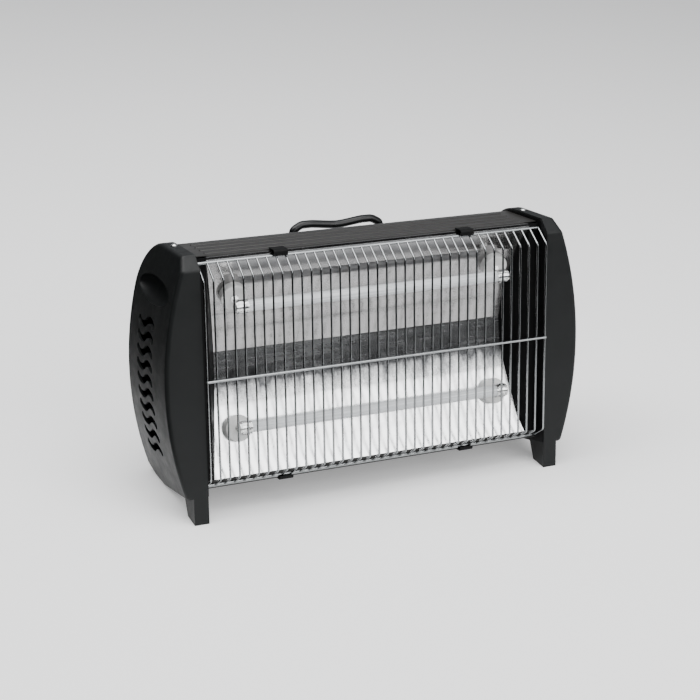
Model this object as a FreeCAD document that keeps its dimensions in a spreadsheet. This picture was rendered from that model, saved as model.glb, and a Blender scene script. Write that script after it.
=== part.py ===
"""Two-tube quartz radiant heater: end caps, folded housing, reflectors, wire guard and its inner parts.

Everything is drawn in the body frame: X to the right, Y back from the front of the guard, Z up along the
guard's wires, and the origin where the line of the floor meets the guard's plane. The finished pieces are
then leaned back onto the floor.
"""
import FreeCAD, Part
import math
import os

import Sketcher
from FreeCAD import Placement, Rotation, Vector

SIZES = {
    # stance
    "lean": 7.5,
    # housing between the end caps
    "body_width": 360,
    "housing_drop": 4,
    "housing_front": 24,
    "housing_back": 100,
    "housing_bottom": 29,
    "housing_crown": 18,
    "housing_heel": 14,
    "seam_height": 190,
    "seam_lap": 8,
    "sheet": 0.8,
    "rib_count": 4,
    "rib_pitch": 13,
    "rib_width": 5,
    "rib_height": 0.8,
    # end caps
    "cap_width": 37,
    "cap_front": 2,
    "cap_back": 122,
    "cap_top": 257,
    "cap_nose": 26,
    "cap_chamfer": 12.5,
    "cap_crown": 50,
    "cap_flare": 8,
    "cap_wall": 2.4,
    "cap_shoulder": 5,
    "cap_front_round": 4,
    "cap_draw": 23.4,
    "bulge_centre": 131,
    "heel_front": 88,
    "heel_back": 113,
    "heel_rise": 10,
    "foot_width": 14.5,
    "foot_depth": 29,
    "foot_taper": 6,
    # vents and grip in the end caps
    "vent_count": 10,
    "vent_pitch": 13.8,
    "vent_length": 48,
    "vent_width": 6.6,
    "vent_swing": 3.6,
    "vent_top": 185,
    "vent_middle": 68,
    "grip_length": 88,
    "grip_height": 26,
    "grip_depth": 12,
    "grip_drop": 40,
    "grip_middle": 62,
    # guard
    "wire_pitch": 9.6,
    "wire_size": 2,
    "rail_size": 3,
    "middle_size": 2.4,
    "wire_bend": 4,
    "weld_depth": 0.4,
    "guard_drop": 18,
    "guard_rise": 13.6,
    "guard_middle": 139.6,
    "rail_back": 16.4,
    "rail_drop": 5.2,
    "rail_rise": 3.4,
    "rail_gap": 2,
    "clip_spread": 97,
    "clip_width": 14,
    "clip_reach": 2,
    # heating tubes
    "tube_size": 11,
    "tube_wall": 1.2,
    "tube_room": 38,
    "tube_depth": 16.5,
    "upper_drop": 50,
    "lower_rise": 56,
    "coil_size": 6.4,
    "coil_room": 14,
    "ferrule_length": 12,
    "ferrule_wall": 0.5,
    "puck_size": 26,
    "puck_depth": 8,
    "puck_room": 42.3,
    "upper_puck_rise": 8,
    "lower_puck_drop": 7,
    "spigot_size": 12,
    "spigot_length": 9,
    "clip_ring": 6,
    # reflector
    "reflector_sheet": 0.6,
    "ridge_depth": 53,
    "ridge_lift": 8,
    "ridge_gap": 0.3,
    "lip_depth": 19,
    "lip_return": 15,
    "lip_height": 3,
    "upper_knee_depth": 32.5,
    "upper_knee_rise": 25,
    "upper_back_depth": 46.5,
    "upper_back_drop": 13,
    "lower_head_depth": 51,
    "lower_head_rise": 39,
    "lower_back_depth": 44.5,
    "lower_back_rise": 13,
    "lower_knee_depth": 30.5,
    "lower_knee_drop": 31,
    "flange_depth": 18.1,
    "flange_height": 7.5,
    "mouth_gap": 11.5,
    "throat_gap": 28,
    "cheek_back": 56,
    # carry handle
    "handle_width": 102,
    "handle_size": 8,
    "handle_lift": 5,
    "handle_plane": 109,
    "handle_drop": 45,
    # switches in the right cap
    "switch_middle": 126,
    "switch_pitch": 27,
    "switch_length": 31,
    "switch_height": 22,
    "switch_flange": 1.6,
    "switch_rim": 2.5,
    "box_depth": 16,
    "rocker_length": 20,
    "rocker_width": 12,
    "rocker_gap": 0.8,
    "rocker_throw": 7,
    "pivot_depth": 5.2,
    "pivot_size": 2.4,
    "running_gap": 0.05,
    # small parts
    "screw_head": 6.4,
    "screw_shank": 3.4,
    "pendulum_length": 24,
    "pendulum_bob": 11,
    "pendulum_height": 84,
    "pendulum_middle": 62,
    "lead_size": 2.4,
    "gland_size": 16,
    "gland_bore": 7.2,
    "gland_room": 34,
    "gland_height": 110,
    "slot_low": 70,
    "slot_high": 160,
    "slot_pitch": 12,
    "slot_width": 4,
    "slot_length": 18,
    "cutout_middle": 60,
    "cutout_height": 176,
    "block_middle": 96,
    "block_height": 52,
    "block_pitch": 11,
    "grommet_middle": 84,
    "grommet_height": 122,
}

DERIVED = {
    "housing_top": "cap_top - housing_drop",
    "guard_top": "housing_top - guard_drop",
    "guard_bottom": "housing_bottom + guard_rise",
    "rail_top": "housing_top - rail_drop",
    "rail_bottom": "housing_bottom + rail_rise",
    "rail_length": "body_width - 2 * rail_gap",
    "wire_count": "floor((body_width - wire_size - rail_gap) / wire_pitch) + 1",
    "tube_length": "body_width - 2 * tube_room",
    "coil_length": "tube_length - 2 * coil_room",
    "puck_place": "body_width / 2 - puck_room",
    "upper_height": "housing_top - upper_drop",
    "lower_height": "housing_bottom + lower_rise",
    "bulge_radius": "((cap_top - bulge_centre) ^ 2 + cap_draw ^ 2) / (2 * cap_draw)",
    "ridge_height": "(upper_height + lower_height) / 2 + ridge_lift",
    "cheek_mouth": "body_width / 2 - mouth_gap",
    "cheek_throat": "body_width / 2 - throat_gap",
    "grip_centre": "cap_top - grip_drop",
    "handle_rise": "housing_top + handle_lift",
    "handle_foot": "housing_top - handle_drop",
}

doc = FreeCAD.newDocument("quartz_heater")
sheet = doc.addObject("Spreadsheet::Sheet", "Sizes")
for row, (alias, number) in enumerate(SIZES.items(), start=1):
    sheet.set("A%d" % row, alias)
    sheet.set("B%d" % row, str(number))
    sheet.setAlias("B%d" % row, alias)
doc.recompute()

finished = []


def size(formula):
    """The value of a formula in the sheet's names, such as 'cap_back - cap_front'."""
    return float(sheet.evalExpression(named(formula)))


def named(formula):
    """The formula with derived names worked out and each of the sheet's names as Sizes.name."""
    out = ""
    word = ""
    for letter in str(formula) + " ":
        if letter.isalnum() or letter == "_":
            word += letter
            continue
        if word in DERIVED:
            out += "(" + named(DERIVED[word]) + ")"
        else:
            out += "Sizes." + word if word in SIZES else word
        out += letter
        word = ""
    return out.strip()


def bind(obj, **formulas):
    """Bind properties of an object to the sheet."""
    for prop, formula in formulas.items():
        obj.setExpression(prop, named(formula))
    return obj


def finish(obj, label, local=None):
    """Name a finished piece and remember where it stands in the body frame."""
    obj.Label = label
    finished.append((obj, local or Placement()))
    return obj


# ---------------------------------------------------------------- primitives


def box(name, corner, length, width, height):
    """A box from its lowest corner, along X, Y and Z."""
    solid = bind(doc.addObject("Part::Box", name), Length=length, Width=width, Height=height)
    move(solid, corner)
    return solid


def rod(name, foot, direction, radius, length):
    """A cylinder that starts at foot and runs along direction."""
    solid = bind(doc.addObject("Part::Cylinder", name), Radius=radius, Height=length)
    solid.Placement.Rotation = Rotation(Vector(0, 0, 1), Vector(*direction))
    move(solid, foot)
    return solid


def move(obj, corner):
    """Put an object at three formulas, bound to the sheet."""
    for axis, formula in zip("xyz", corner):
        obj.setExpression("Placement.Base." + axis, named(formula))


def cut(name, base, tool):
    result = doc.addObject("Part::Cut", name)
    result.Base = base
    result.Tool = tool
    return result


def fuse(name, shapes):
    result = doc.addObject("Part::MultiFuse", name)
    result.Shapes = shapes
    return result


def group(name, shapes):
    """Separate solids of one piece, or one primitive, as one object."""
    result = doc.addObject("Part::Compound", name)
    result.Links = shapes
    return result


def coded(name, shape):
    """A piece whose shape comes from curves that no primitive or sketch holds."""
    result = doc.addObject("Part::Feature", name)
    result.Shape = shape
    return result


def tube(name, foot, direction, outer, inner, length):
    outside = rod(name + "_outside", foot, direction, outer, length)
    inside = rod(name + "_inside", foot, direction, inner, length)
    return cut(name, outside, inside)


# ---------------------------------------------------------------- sketches


def plane_of(body, role):
    return next(item for item in body.Origin.OriginFeatures if item.Role == role)


def sketch_on(body, role, name, offset="0"):
    """An empty sketch on an origin plane, moved along the plane's normal by a formula."""
    sketch = body.newObject("Sketcher::SketchObject", name)
    sketch.AttachmentSupport = [(plane_of(body, role), "")]
    sketch.MapMode = "FlatFace"
    if offset != "0":
        sketch.setExpression("AttachmentOffset.Base.z", named(offset))
    return sketch


def pin_point(sketch, edge, end, across, up):
    """Hold one end of an edge at two formulas from the sketch's origin."""
    for kind, formula in (("DistanceX", across), ("DistanceY", up)):
        index = sketch.addConstraint(Sketcher.Constraint(kind, -1, 1, edge, end, size(formula)))
        sketch.setExpression("Constraints[%d]" % index, named(formula))


def outline(sketch, corners):
    """A closed outline through (across, up) formulas; a third entry is the radius of an arc to the next."""
    points = [Vector(size(corner[0]), size(corner[1]), 0) for corner in corners]
    first = len(sketch.Geometry)
    count = len(corners)
    for index, corner in enumerate(corners):
        here = points[index]
        there = points[(index + 1) % count]
        if len(corner) > 2:
            edge = sketch.addGeometry(arc_between(here, there, size(corner[2])))
            radius = abs(size(corner[2]))
            held = sketch.addConstraint(Sketcher.Constraint("Radius", edge, radius))
            sketch.setExpression("Constraints[%d]" % held, named("abs(%s)" % corner[2]))
        else:
            edge = sketch.addGeometry(Part.LineSegment(here, there))
    for index, corner in enumerate(corners):
        edge = first + index
        following = first + (index + 1) % count
        sketch.addConstraint(Sketcher.Constraint("Coincident", edge, near_end(sketch, edge, points, index, 1),
                                                 following, near_end(sketch, following, points, index + 1, 0)))
        pin_point(sketch, edge, near_end(sketch, edge, points, index, 0), corner[0], corner[1])
    return sketch


def near_end(sketch, edge, points, index, step):
    """Which end of an edge, 1 or 2, lies at the outline's point."""
    target = points[(index + step) % len(points)]
    curve = sketch.Geometry[edge]
    return 1 if curve.StartPoint.distanceToPoint(target) < 1e-4 else 2


def arc_between(start, end, radius):
    """A short arc through two points; it bows to the right of the way for a positive radius."""
    chord = end.sub(start)
    half = chord.Length / 2
    reach = math.copysign(math.sqrt(max(radius * radius - half * half, 0)), radius)
    side = Vector(-chord.y, chord.x, 0)
    side.normalize()
    centre = start.add(end).multiply(0.5).add(side.multiply(reach))
    circle = Part.Circle(centre, Vector(0, 0, 1), abs(radius))
    first, last = (start, end) if radius > 0 else (end, start)
    angles = [math.atan2(point.y - centre.y, point.x - centre.x) for point in (first, last)]
    if angles[1] < angles[0]:
        angles[1] += 2 * math.pi
    return Part.ArcOfCircle(circle, angles[0], angles[1])


def pad(body, sketch, name, length, both=False, reverse=False):
    feature = body.newObject("PartDesign::Pad", name)
    feature.Profile = sketch
    feature.SideType = "Symmetric" if both else "One side"
    feature.Reversed = reverse
    bind(feature, Length=length)
    return feature


def pocket(body, sketch, name, length, both=True, reverse=False):
    feature = body.newObject("PartDesign::Pocket", name)
    feature.Profile = sketch
    feature.SideType = "Symmetric" if both else "One side"
    feature.Reversed = reverse
    bind(feature, Length=length)
    return feature


def new_body(name):
    return doc.addObject("PartDesign::Body", name)


def edges_where(shape, wanted):
    """Names of the edges whose middle point passes a test."""
    names = []
    for number, edge in enumerate(shape.Edges, start=1):
        span = edge.LastParameter - edge.FirstParameter
        middle = edge.valueAt(edge.FirstParameter + span / 2)
        if wanted(edge, middle):
            names.append("Edge%d" % number)
    return names


def round_edges(body, name, radius, wanted):
    """Fillet the chosen edges of the body's present solid."""
    doc.recompute()
    base = body.Tip
    names = edges_where(base.Shape, wanted)
    feature = body.newObject("PartDesign::Fillet", name)
    feature.Base = (base, names)
    bind(feature, Radius=radius)
    return feature


# ---------------------------------------------------------------- end caps


FLOOR = "tan(lean) * "
HALF = "body_width / 2"
REAR_SCREWS = ("cap_nose + 40", "cap_top - 60")


def rear_at(height):
    """How far back the cap's rear face stands at a height: it leans out by cap_flare towards the heel."""
    span = "(cap_top - cap_crown - heel_rise - %s heel_back)" % FLOOR
    return "cap_back + cap_flare * (cap_top - cap_crown - (%s)) / %s" % (height, span)


def bulge_at(height, wall="0"):
    """How far out the cap's bowed side stands at a height; it draws in by cap_draw up to the top."""
    radius = "(bulge_radius - %s)" % wall
    return "%s + cap_width - bulge_radius + sqrt(%s ^ 2 - (%s - bulge_centre) ^ 2)" % (HALF, radius, height)


def cap_section(body, wall):
    """The cap's front-view outline: flat inner side, bowed outer side."""
    sketch = sketch_on(body, "XZ_Plane", body.Name + "_section", "-(cap_back + 20)")
    inner = "%s - 2 * %s" % (HALF, wall)
    outline(sketch, [
        (inner, "-10"),
        (bulge_at("-10", wall), "-10", "bulge_radius - %s" % wall),
        (bulge_at("cap_top + 10", wall), "cap_top + 10"),
        (inner, "cap_top + 10"),
    ])
    return sketch


def side_outline(wall):
    """The cap's side-view outline, inset by a wall."""
    front = "cap_front + %s" % wall
    back = "cap_back - %s" % wall
    top = "cap_top - %s" % wall
    return [
        (front, "cap_nose + %s" % wall),
        ("heel_front", FLOOR + "heel_front + %s" % wall),
        ("heel_back - %s / 2" % wall, FLOOR + "heel_back + %s" % wall),
        (back + " + cap_flare", FLOOR + "heel_back + heel_rise + %s / 2" % wall),
        (back, "cap_top - cap_crown", "cap_crown - %s" % wall),
        ("cap_back - cap_crown", top),
        ("cap_front + cap_chamfer + %s / 2" % wall, top),
        (front, "cap_top - cap_chamfer - %s / 2" % wall),
    ]


def cap_profile(body, wall):
    """Everything outside the cap's side-view outline, as a frame to cut away."""
    sketch = sketch_on(body, "YZ_Plane", body.Name + "_side_outline")
    margin = 60
    outline(sketch, [
        ("cap_front - %d" % margin, "-%d" % margin),
        ("cap_back + %d" % margin, "-%d" % margin),
        ("cap_back + %d" % margin, "cap_top + %d" % margin),
        ("cap_front - %d" % margin, "cap_top + %d" % margin),
    ])
    outline(sketch, side_outline(wall))
    return sketch


def cap_block(name, wall):
    """A solid of the cap's outer shape, or of its hollow when wall is a thickness."""
    body = new_body(name)
    pad(body, cap_section(body, wall), name + "_pad", "cap_back + 60")
    pocket(body, cap_profile(body, wall), name + "_trim", "8 * (body_width + cap_width)")
    doc.recompute()
    return body


def on_bulge(middle):
    """An edge of the bowed side: its middle lies on the bulge's circle."""
    return abs(middle.x - size(bulge_at(middle.z))) < 0.05


def make_cap_blocks():
    """The right cap's outer form with its foot, and the form of its hollow."""
    outer = cap_block("cap_outer", "0")
    front = size("cap_front")
    back = size("cap_back")
    round_edges(outer, "shoulder", "cap_shoulder",
                lambda edge, middle: on_bulge(middle) and middle.y > front + 1)
    round_edges(outer, "front_rounding", "cap_front_round",
                lambda edge, middle: abs(middle.y - front) < 0.01 and middle.x > size(HALF) + 1)
    foot = sketch_on(outer, "YZ_Plane", "foot_outline", HALF)
    outline(foot, [
        ("cap_front", FLOOR + "cap_front"),
        ("foot_depth - foot_taper", FLOOR + "(foot_depth - foot_taper)"),
        ("foot_depth + 3", "cap_nose - 2"),
        ("foot_depth + 3", "cap_nose + 6"),
        ("cap_front", "cap_nose + 6"),
    ])
    pad(outer, foot, "foot", "foot_width")
    core = cap_block("cap_hollow", "cap_wall")
    return outer, core


def wave_slot(middle_y, height, length, width, swing):
    """A long S-shaped slot in the YZ plane at X = 0, as a face with round ends."""
    half = (length - width) / 2
    centre = Vector(0, middle_y, height)
    front = centre - Vector(0, half, 0)
    rear = centre + Vector(0, half, 0)
    crest = Vector(0, middle_y - half / 2, height + swing)
    dip = Vector(0, middle_y + half / 2, height - swing)
    wire = Part.Wire([Part.Arc(front, crest, centre).toShape(), Part.Arc(centre, dip, rear).toShape()])
    return Part.Face(wire.makeOffset2D(width / 2, 0, False, False, True))


def vent_cutters(side, rows):
    """The vents of one cap: S-shaped slots that run through its bowed side."""
    reach = size("%s + cap_width + 10" % HALF)
    start = size("%s + cap_width / 2" % HALF)
    cutters = []
    for number in rows:
        face = wave_slot(size("vent_middle"), size("vent_top") - number * size("vent_pitch"),
                         size("vent_length"), size("vent_width"), size("vent_swing"))
        face.translate(Vector(side * start, 0, 0))
        cutters.append(face.extrude(Vector(side * (reach - start), 0, 0)))
    return cutters


# ---------------------------------------------------------------- housing sheets


def sheet_strip(points, thickness, half_length, arcs=None):
    """Sheet metal: a bent strip with a constant thickness, drawn in the YZ plane and centred on X."""
    wire = rounded_wire(points, arcs or {})
    outer = offset_open(wire, thickness)
    first = wire.OrderedVertexes[0].Point
    last = wire.OrderedVertexes[-1].Point
    outer_first = nearest_end(outer, first)
    outer_last = nearest_end(outer, last)
    edges = list(wire.Edges) + list(outer.Edges)
    edges.append(Part.makeLine(first, outer_first))
    edges.append(Part.makeLine(last, outer_last))
    face = Part.Face(Part.Wire(Part.__sortEdges__(edges)))
    face.translate(Vector(-half_length, 0, 0))
    return face.extrude(Vector(2 * half_length, 0, 0))


def nearest_end(wire, point):
    ends = [wire.OrderedVertexes[0].Point, wire.OrderedVertexes[-1].Point]
    return min(ends, key=lambda end: end.distanceToPoint(point))


def offset_open(wire, thickness):
    return wire.makeOffset2D(thickness, 2, False, True, False)


def rounded_path(corners, arcs):
    """A wire through points, each corner rounded by a tangent arc where arcs gives its radius."""
    edges = []
    start = corners[0]
    for index in range(1, len(corners) - 1):
        corner = corners[index]
        radius = arcs.get(index, 0)
        if not radius:
            edges.append(Part.makeLine(start, corner))
            start = corner
            continue
        back = (corners[index - 1] - corner).normalize()
        ahead = (corners[index + 1] - corner).normalize()
        half_angle = back.getAngle(ahead) / 2
        setback = radius / math.tan(half_angle)
        enter = corner + back * setback
        leave = corner + ahead * setback
        inward = (back + ahead).normalize()
        centre = corner + inward * (radius / math.sin(half_angle))
        if (enter - start).Length > 0.001:
            edges.append(Part.makeLine(start, enter))
        edges.append(Part.Arc(enter, centre - inward * radius, leave).toShape())
        start = leave
    edges.append(Part.makeLine(start, corners[-1]))
    return Part.Wire(edges)


def rounded_wire(points, arcs):
    """The same in the YZ plane, from (y, z) points."""
    return rounded_path([Vector(0, y, z) for y, z in points], arcs)


# ---------------------------------------------------------------- the pieces


def screw_places(side):
    """Where one cap's screws stand, and the way each one's head faces: one on top, two at the back."""
    top = Vector(side * size("%s + 5" % HALF), size("cap_front + 58"), size("cap_top"))
    places = [(top, Vector(0, 0, 1))]
    for height in REAR_SCREWS:
        rear = Vector(side * size("%s + 8" % HALF), size(rear_at(height)), size(height))
        places.append((rear, Vector(0, 1, 0)))
    return places


def pan_screw(place, out, length):
    """One pan-head screw: its head sits on place and its shank runs in against out."""
    head = size("screw_head") / 2
    shank = size("screw_shank") / 2
    seat = Part.makeCylinder(head, 1.2, place - out * 0.6, out)
    stem = Part.makeCylinder(shank, length, place, out * -1)
    return seat.fuse([stem, crown_of(place, out, head)]).removeSplitter()


def make_screws(side):
    """The screws of one cap, each into a tab of the end plate."""
    return [pan_screw(place, out, 8) for place, out in screw_places(side)]


def crown_of(place, out, head):
    """The domed top of a screw head with a cross recess."""
    rise = head * 0.45
    radius = (head * head + rise * rise) / (2 * rise)
    centre = place + out * (0.6 + rise - radius)
    dome = Part.makeSphere(radius, centre)
    dome = dome.common(Part.makeCylinder(head, rise + 0.2, place + out * 0.5, out))
    turn = Rotation(Vector(0, 0, 1), out)
    for angle in (0, 90):
        bar = Part.makeBox(head * 1.3, 0.9, 1, Vector(-head * 0.65, -0.45, 0))
        bar.Placement = Placement(place + out * (0.6 + rise - 0.8), turn.multiply(Rotation(Vector(0, 0, 1), angle)))
        dome = dome.cut(bar)
    return dome


def screw_holes(side):
    """Clearance holes for one cap's screws, with a shallow seat for each head."""
    radius = size("screw_shank") / 2 + 0.3
    seat = size("screw_head") / 2 + 0.4
    cutters = []
    for place, out in screw_places(side):
        cutters.append(Part.makeCylinder(radius, 12, place - out * 8, out))
        cutters.append(Part.makeCylinder(seat, 5, place - out * 0.6, out))
    return cutters


def switch_centre(number):
    """Height of a switch: number is -1 for the lower one and 1 for the upper one."""
    return "switch_middle + (%d) * switch_pitch / 2" % number


def switch_openings():
    """Openings in the right cap for the switch bodies, with a seat for each flange."""
    cutters = []
    face = size("%s + cap_width" % HALF)
    middle = size("vent_middle")
    length = size("switch_length")
    height = size("switch_height")
    rim = size("switch_rim")
    gap = 0.15
    for number in (-1, 1):
        centre = size(switch_centre(number))
        seat = Vector(face - size("switch_flange") - 0.05, middle - length / 2 - gap, centre - height / 2 - gap)
        cutters.append(Part.makeBox(10, length + 2 * gap, height + 2 * gap, seat))
        inner = Vector(face - 12, middle - length / 2 + rim - gap, centre - height / 2 + rim - gap)
        cutters.append(Part.makeBox(14, length - 2 * rim + 2 * gap, height - 2 * rim + 2 * gap, inner))
    return cutters


def scoop(side, wall):
    """The hand grip's dished form, or its outer skin when wall is a thickness."""
    depth = size("grip_depth") + wall
    length = size("grip_length") / 2 + wall
    height = size("grip_height") / 2 + wall
    form = Part.makeSphere(10)
    stretch = FreeCAD.Matrix()
    stretch.scale(depth / 10, length / 10, height / 10)
    form = form.transformGeometry(stretch)
    surface = size(bulge_at("grip_centre"))
    form.translate(Vector(side * surface, size("grip_middle"), size("grip_centre")))
    return form


def make_end_caps():
    """Both end caps; the right one has its two switches in place of the middle vents."""
    outer, core = make_cap_blocks()
    dish = coded("grip_dish", scoop(1, 0))
    skin = coded("grip_skin", scoop(1, size("cap_wall")))
    blank = cut("cap_blank", cut("cap_dished", outer, dish), cut("cap_core", core, skin))
    mirrored = doc.addObject("Part::Mirroring", "cap_blank_left")
    mirrored.Source = blank
    mirrored.Normal = Vector(1, 0, 0)
    rows = range(int(size("vent_count")))
    room = size("switch_pitch / 2 + switch_height / 2 + vent_swing + vent_width / 2")
    middle = size("switch_middle")
    beside = [row for row in rows if abs(size("vent_top") - row * size("vent_pitch") - middle) > room]
    for side_name, side, shell, used in (("left", -1, mirrored, rows), ("right", 1, blank, beside)):
        cutters = vent_cutters(side, used) + screw_holes(side)
        if side > 0:
            cutters += switch_openings()
        tool = coded("cap_cuts_" + side_name, Part.makeCompound(cutters))
        finish(cut("cap_" + side_name, shell, tool), "end_cap_" + side_name)
        finish(coded("screws_" + side_name, Part.makeCompound(make_screws(side))),
               "cap_screws_" + side_name)


def make_end_plates():
    """Steel plates that close the end caps and carry the housing, with a tab under each top screw."""
    for side_name, side in (("left", -1), ("right", 1)):
        body = new_body("plate_" + side_name)
        start = "%s - sheet" % HALF if side > 0 else "-(%s)" % HALF
        sketch = sketch_on(body, "YZ_Plane", "plate_outline_" + side_name, start)
        outline(sketch, side_outline("1.2"))
        pad(body, sketch, "plate_pad_" + side_name, "sheet")
        tab = sketch_on(body, "XZ_Plane", "tab_outline_" + side_name, "-(cap_front + 50)")
        inner = "%d * (%s - 0.1)" % (side, HALF)
        outer = "%d * (%s + 9)" % (side, HALF)
        low = "cap_top - cap_wall - 1.9"
        high = "cap_top - cap_wall - 1.1"
        corners = [(inner, low), (outer, low), (outer, high), (inner, high)]
        outline(tab, corners if side > 0 else [corners[1], corners[0], corners[3], corners[2]])
        pad(body, tab, "tab_pad_" + side_name, "16", reverse=True)
        for number, height in enumerate(REAR_SCREWS):
            name = "rear_tab_%s_%d" % (side_name, number)
            tab = sketch_on(body, "XY_Plane", name, height + " - 7")
            near = rear_at(height) + " - cap_wall - 1.9"
            far = rear_at(height) + " - cap_wall - 1.1"
            outer = "%d * (%s + 14)" % (side, HALF)
            corners = [(inner, near), (outer, near), (outer, far), (inner, far)]
            outline(tab, corners if side > 0 else [corners[1], corners[0], corners[3], corners[2]])
            pad(body, tab, name + "_pad", "14")
        bores = [Part.makeCylinder(size("screw_shank") / 2 + 0.05, 20, place - out * 16, out)
                 for place, out in screw_places(side)]
        if side > 0:
            grommet = Vector(size(HALF) - 5, size("grommet_middle"), size("grommet_height"))
            bores.append(Part.makeCylinder(8, 10, grommet, Vector(1, 0, 0)))
        tool = coded("plate_bores_" + side_name, Part.makeCompound(bores))
        finish(cut("plate_cut_" + side_name, body, tool), "end_plate_" + side_name)


def make_housing():
    """The ribbed top cover and the rear cover, which laps inside it and folds under the heater."""
    half = size("%s - sheet - 0.1" % HALF)
    thick = size("sheet")
    front = size("housing_front")
    back = size("housing_back")
    top = size("housing_top")
    seam = size("seam_height")
    points = [(front, top), (back, top), (back, seam)]
    cover = sheet_strip(points, thick, half, {1: size("housing_crown")})
    for number in range(int(size("rib_count"))):
        y = front + 9 + number * size("rib_pitch")
        cover = cover.fuse(rib(y, top, half - 14))
    cover = cover.removeSplitter().cut(Part.makeCompound(handle_screw_holes()))
    finish(coded("top_cover_shape", cover), "top_cover")
    inside = back - thick - 0.1
    bottom = size("housing_bottom")
    flange = size("flange_depth")
    points = [(inside, seam + size("seam_lap")), (inside, bottom), (flange, bottom),
              (flange, bottom + size("flange_height"))]
    finish(coded("rear_cover_shape", rear_with_slots(points, thick, half)), "rear_cover")


def rib(y, top, half):
    """A long low swage with round ends on the top cover."""
    width = size("rib_width") / 2
    rise = size("rib_height")
    bar = Part.makeCylinder(width, 2 * half, Vector(-half, y, top - width + rise), Vector(1, 0, 0))
    keep = Part.makeBox(2 * half + 20, 2 * width, 2 * rise, Vector(-half - 10, y - width, top - 0.3))
    return bar.common(keep)


def rear_with_slots(points, thick, half):
    """The rear cover with two rows of cooling slots, a cord hole and handle screw holes."""
    cover = sheet_strip(points, thick, half, {1: size("housing_heel")})
    back = points[0][0]
    cutters = []
    pitch = size("slot_pitch")
    columns = int((half - 30) / pitch)
    for height in (size("slot_low"), size("slot_high")):
        for column in range(-columns, columns + 1):
            cutters.append(slot_box(column * pitch, back, height, size("slot_width"), size("slot_length")))
    cord_hole = Vector(gland_x(), back - 5, size("gland_height"))
    cutters.append(Part.makeCylinder(size("gland_size") / 2 - 2, 10, cord_hole, Vector(0, 1, 0)))
    cutters += handle_screw_holes()
    return cover.cut(Part.makeCompound(cutters))


def gland_x():
    """Where the cord enters, from the middle of the heater."""
    return size("body_width / 2 - gland_room")


def slot_box(x, y, z, width, height):
    """A tall slot with round ends through the rear cover."""
    box_part = Part.makeBox(width, 6, height - width, Vector(x - width / 2, y - 3, z - (height - width) / 2))
    for end in (-1, 1):
        foot = Vector(x, y - 3, z + end * (height - width) / 2)
        box_part = box_part.fuse(Part.makeCylinder(width / 2, 6, foot, Vector(0, 1, 0)))
    return box_part


def reflector_half(points, radii, label, seat):
    """A bent aluminium trough whose ends follow the slanted cheeks, with a hole for each insulator."""
    thick = size("reflector_sheet")
    half = size(HALF)
    strip = sheet_strip(points, thick, half, radii)
    gap = 0.5
    front = size("lip_depth") - 4
    slope = (size("cheek_mouth") - size("cheek_throat")) / (size("cheek_back") - size("lip_depth"))
    reach = size("cheek_mouth") - gap + 4 * slope
    deep = 80
    narrow = reach - slope * deep
    wedge = Part.Face(Part.makePolygon([
        Vector(-reach, front, 0), Vector(reach, front, 0), Vector(narrow, front + deep, 0),
        Vector(-narrow, front + deep, 0), Vector(-reach, front, 0)]))
    strip = strip.common(wedge.extrude(Vector(0, 0, size("cap_top"))))
    place, out = seat
    for side in (-1, 1):
        foot = Vector(side * size("puck_place"), place.y, place.z) - out * 6
        strip = strip.cut(Part.makeCylinder(size("spigot_size") / 2 + 0.4, 12, foot, out))
    return finish(coded(label + "_shape", strip), label)


def upper_trough():
    """Upper reflector, (depth, height) points from its top lip to the ridge, and its corners' radii."""
    tube_height = size("upper_height")
    lip = size("lip_depth")
    top = size("housing_top - sheet - 0.1 - reflector_sheet")
    points = [
        (lip + size("lip_return"), top),
        (lip, top),
        (lip, top - size("lip_height")),
        (size("upper_knee_depth"), tube_height + size("upper_knee_rise")),
        (size("upper_back_depth"), tube_height - size("upper_back_drop")),
        (size("ridge_depth"), size("ridge_height + ridge_gap / 2")),
    ]
    return points, {3: 25, 4: 60}


def lower_trough():
    """Lower reflector, (depth, height) points from the ridge to its bottom lip, and its corners' radii."""
    tube_height = size("lower_height")
    lip = size("flange_depth + sheet + reflector_sheet + 0.5")
    low = size("housing_bottom + sheet + 0.7")
    points = [
        (size("ridge_depth"), size("ridge_height - ridge_gap / 2")),
        (size("lower_head_depth"), tube_height + size("lower_head_rise")),
        (size("lower_back_depth"), tube_height + size("lower_back_rise")),
        (size("lower_knee_depth"), tube_height - size("lower_knee_drop")),
        (lip, low + size("lip_height")),
        (lip, low),
        (lip + size("lip_return"), low),
    ]
    return points, {1: 80, 2: 80, 3: 50}


def puck_seat(points, first, height):
    """Where an insulator sits on the flat run after a point of a trough, and the way it faces."""
    start = Vector(0, *points[first])
    end = Vector(0, *points[first + 1])
    along = (end - start).normalize()
    seat = start + along * ((height - start.z) / along.z)
    return seat, Vector(0, along.z, -along.y)


def puck_seats():
    upper = puck_seat(upper_trough()[0], 3, size("upper_height + upper_puck_rise"))
    lower = puck_seat(lower_trough()[0], 2, size("lower_height - lower_puck_drop"))
    return {"upper": upper, "lower": lower}


def make_reflectors():
    """The two aluminium troughs that meet at the ridge."""
    seats = puck_seats()
    for name, (points, radii) in (("upper", upper_trough()), ("lower", lower_trough())):
        reflector_half(points, radii, "reflector_" + name, seats[name])


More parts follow.
